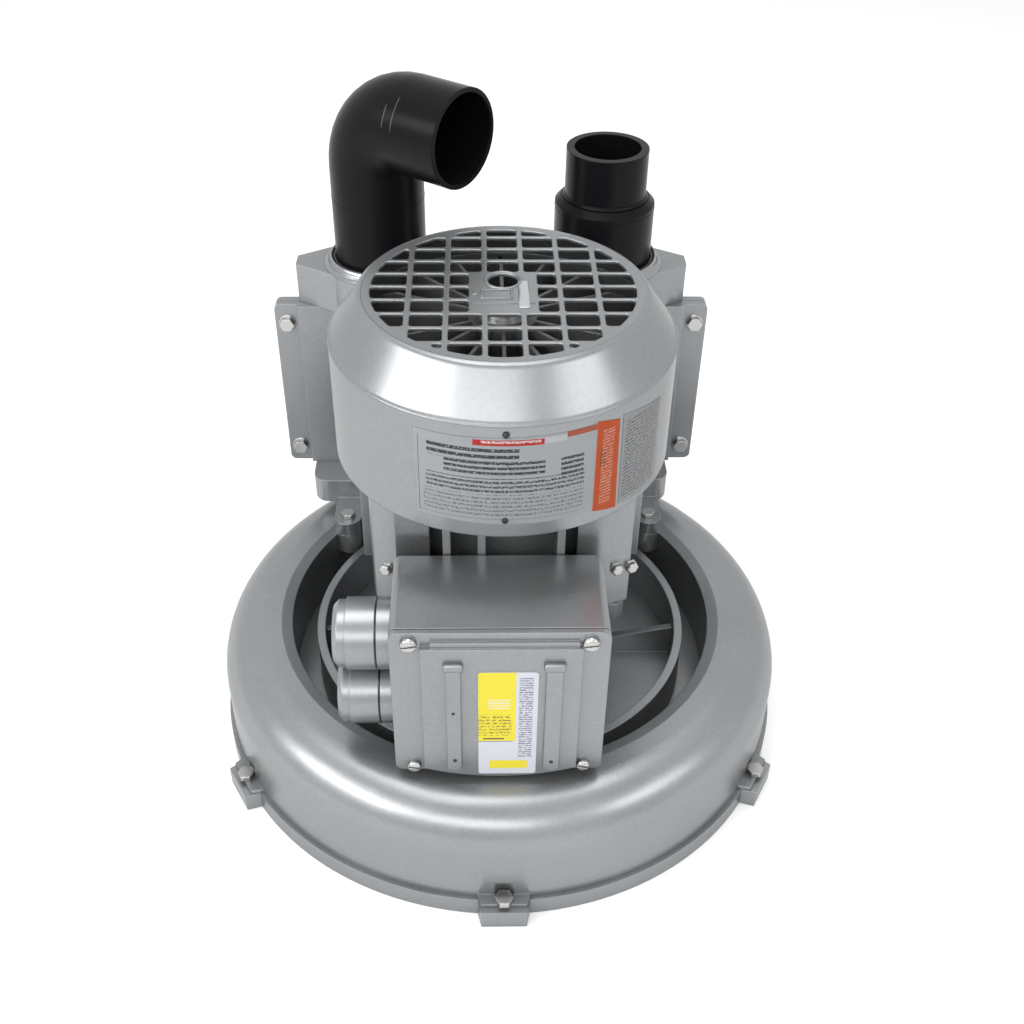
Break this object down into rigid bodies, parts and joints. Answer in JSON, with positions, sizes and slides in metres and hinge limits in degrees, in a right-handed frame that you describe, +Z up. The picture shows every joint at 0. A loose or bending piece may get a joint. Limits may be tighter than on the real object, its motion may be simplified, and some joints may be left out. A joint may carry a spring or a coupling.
{
  "type": "side channel blower with electric motor",
  "caption": "Side channel blower standing on its impeller cover, with upright finned motor, fan cowl, terminal box, silencer, bent outlet pipe and straight hose spigot.",
  "frame": {"origin": "on the shaft axis, at the flat underside of the impeller cover", "axes": "+Z up along the motor shaft, +Y towards the silencer and the ports, -Y towards the terminal box"},
  "size_m": [0.4199, 0.439, 0.4378],
  "materials": {
    "painted_casting": "silver grey paint, semi matt",
    "raw_casting": "as cast",
    "sheet_metal": "silver grey paint, semi matt",
    "steel": "machined",
    "zinc_screws": "zinc plated",
    "lamination": "dull",
    "copper": "lacquered wire",
    "black_plastic": "black, satin",
    "grey_plastic": "silver grey, satin",
    "fan_plastic": "light grey, satin",
    "board_plastic": "dull",
    "seal_rubber": "matt",
    "label_foil": "printed foil",
    "foam": "open cell foam"
  },
  "bodies": {
    "blower": {"impeller_cover": "painted_casting", "cover_screws": "zinc_screws", "side_channel_housing": "painted_casting", "shaft_seal": "seal_rubber", "drive_end_bearing_outer_ring": "steel", "fan_end_bearing_outer_ring": "steel", "drive_end_shield": "painted_casting", "flange_bolts": "zinc_screws", "motor_frame": "painted_casting", "stator_core": "lamination", "stator_windings": "copper", "fan_end_shield": "painted_casting", "tie_rods": "zinc_screws", "fan_cowl": "sheet_metal", "fan_guard": "sheet_metal", "cowl_screws": "zinc_screws", "guard_screws": "zinc_screws", "terminal_box": "grey_plastic", "terminal_box_gasket": "seal_rubber", "terminal_box_cover": "grey_plastic", "terminal_cover_screws": "zinc_screws", "terminal_box_screws": "zinc_screws", "terminal_board": "board_plastic", "terminal_studs": "zinc_screws", "cable_plug_lower": "grey_plastic", "cable_plug_upper": "grey_plastic", "terminal_box_label": "label_foil", "rating_label": "label_foil", "wiring_label": "label_foil", "silencer_body": "painted_casting", "silencer_cover": "painted_casting", "silencer_gasket": "seal_rubber", "silencer_bolts": "zinc_screws", "silencer_foot_screws": "zinc_screws", "outlet_silencer_foam": "foam", "inlet_silencer_foam": "foam", "outlet_elbow": "black_plastic", "inlet_collar": "black_plastic", "inlet_spigot": "black_plastic"},
    "rotor": {"motor_shaft": "steel", "rotor_core": "lamination", "impeller": "raw_casting", "impeller_key": "steel", "impeller_washer": "zinc_screws", "impeller_bolt": "zinc_screws", "cooling_fan": "fan_plastic", "fan_retaining_ring": "steel", "drive_end_bearing_inner_ring": "steel", "fan_end_bearing_inner_ring": "steel"}
  },
  "joints": [
    {"name": "rotor_spin", "type": "hinge", "parent": "blower", "child": "rotor", "pos_m": [0, 0, 0.164], "axis": [0, 0, 1], "continuous": true}
  ]
}
